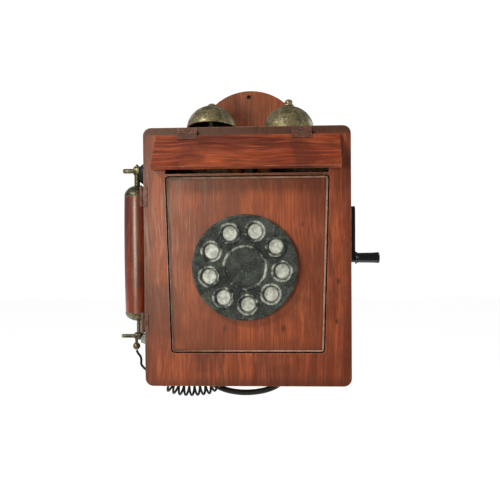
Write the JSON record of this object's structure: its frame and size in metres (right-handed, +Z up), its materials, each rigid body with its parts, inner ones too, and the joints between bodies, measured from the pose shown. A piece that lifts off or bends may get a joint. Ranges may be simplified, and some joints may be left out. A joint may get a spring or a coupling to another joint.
{
  "type": "wall telephone",
  "caption": "Wooden wall telephone with an arched backboard, hinged front, twin bells on top, finger-hole dial, side handset and winding crank.",
  "frame": {"origin": "middle of the backboard's rear face, level with the middle of the case", "axes": "+X to the right seen from the front, +Y back towards the wall, +Z up"},
  "size_m": [0.3454, 0.1495, 0.4231],
  "materials": {
    "aged_brass": "dull, aged",
    "arch_wood": "satin",
    "black_plastic": "gloss",
    "bright_steel": "brushed",
    "card": "matt",
    "case_wood": "satin, worn",
    "copper_winding": "varnished winding",
    "cord_black": "satin",
    "dark_iron": "dark, slightly glossy",
    "lid_wood": "satin, strong straight grain",
    "pewter": "dark pewter with rubbed edges",
    "silver_spot": "matt silver"
  },
  "bodies": {
    "case": {"backboard": "arch_wood", "bottom_board": "case_wood", "cord_gland": "arch_wood", "crank_bush": "aged_brass", "door_catch": "bright_steel", "door_hinge_lower_case_leaf": "aged_brass", "door_hinge_lower_pin": "dark_iron", "door_hinge_upper_case_leaf": "aged_brass", "door_hinge_upper_pin": "dark_iron", "dry_cell": "card", "gong_left": "aged_brass", "gong_nut_left": "aged_brass", "gong_nut_right": "aged_brass", "gong_post_left": "bright_steel", "gong_post_right": "bright_steel", "gong_right": "aged_brass", "handset_cord_curl": "cord_black", "handset_cord_tail": "cord_black", "hook_bracket": "dark_iron", "induction_coil": "copper_winding", "line_cable": "cord_black", "magneto_frame": "dark_iron", "magneto_magnet_1": "dark_iron", "magneto_magnet_2": "dark_iron", "rest_fork": "aged_brass", "ringer_coil_left": "copper_winding", "ringer_coil_right": "copper_winding", "ringer_yoke": "dark_iron", "side_left": "case_wood", "side_right": "case_wood", "top_board": "case_wood"},
    "door": {"door_board": "case_wood", "door_panel": "case_wood", "door_hinge_upper_door_leaf": "aged_brass", "door_hinge_lower_door_leaf": "aged_brass", "lid_cheek_left": "case_wood", "lid_cheek_right": "case_wood", "lid_hinge_left_board_leaf": "aged_brass", "lid_hinge_right_board_leaf": "aged_brass", "lid_hinge_left_pin": "dark_iron", "lid_hinge_right_pin": "dark_iron", "dial_number_plate": "silver_spot"},
    "lid": {"lid_board": "lid_wood", "lid_hinge_left_lid_leaf": "aged_brass", "lid_hinge_right_lid_leaf": "aged_brass"},
    "dial": {"dial_finger_wheel": "pewter", "dial_centre_cap": "pewter", "dial_shaft": "aged_brass"},
    "governor": {"dial_governor": "aged_brass"},
    "crank": {"crank_arm": "dark_iron", "crank_shaft": "aged_brass"},
    "crank_knob": {"crank_knob": "black_plastic"},
    "armature": {"magneto_armature": "bright_steel"},
    "clapper": {"ringer_clapper": "dark_iron"},
    "handset": {"handset_handle": "case_wood", "handset_end_upper": "aged_brass", "handset_end_lower": "aged_brass", "handset_receiver": "black_plastic", "handset_transmitter": "bright_steel"},
    "hook": {"hook_lever": "aged_brass"}
  },
  "joints": [
    {"name": "door_swing", "type": "hinge", "parent": "case", "child": "door", "pos_m": [-0.1332, -0.1223, 0], "axis": [0, 0, -1], "range_deg": [0, 110]},
    {"name": "lid_lift", "type": "hinge", "parent": "door", "child": "lid", "pos_m": [0, -0.1241, 0.1554], "axis": [-1, 0, 0], "range_deg": [0, 110]},
    {"name": "dial_turn", "type": "hinge", "parent": "door", "child": "dial", "pos_m": [-0.0024, -0.1215, -0.0137], "axis": [0, 1, 0], "range_deg": [0, 320], "stiffness_Nm_per_rad": 0.004, "springref_deg": -57.3},
    {"name": "governor_spin", "type": "hinge", "parent": "door", "child": "governor", "pos_m": [-0.0294, -0.1215, -0.0137], "axis": [0, 1, 0], "range_deg": [-1285, 5]},
    {"name": "crank_turn", "type": "hinge", "parent": "case", "child": "crank", "pos_m": [0.131, -0.062, 0.057], "axis": [1, 0, 0], "continuous": true},
    {"name": "knob_spin", "type": "hinge", "parent": "crank", "child": "crank_knob", "pos_m": [0.155, -0.062, -0.0046], "axis": [1, 0, 0], "continuous": true},
    {"name": "armature_spin", "type": "hinge", "parent": "case", "child": "armature", "pos_m": [0.07, -0.062, 0.0195], "axis": [1, 0, 0], "continuous": true},
    {"name": "clapper_rock", "type": "hinge", "parent": "case", "child": "clapper", "pos_m": [0.00235, -0.071, 0.136], "axis": [0, 1, 0], "range_deg": [-1.5, 1.5], "stiffness_Nm_per_rad": 0.02},
    {"name": "handset_lift", "type": "slide", "parent": "case", "child": "handset", "axis": [0, 0, 1], "range_m": [0, 0.014]},
    {"name": "hook_lift", "type": "hinge", "parent": "case", "child": "hook", "pos_m": [-0.104, -0.048, 0.11], "axis": [0, 1, 0], "range_deg": [0, 6]}
  ],
  "couplings": [
    {"joint": "governor_spin", "follows": "dial_turn", "ratio": -4},
    {"joint": "armature_spin", "follows": "crank_turn", "ratio": -4},
    {"joint": "hook_lift", "follows": "handset_lift", "rad_per_m": 7}
  ]
}
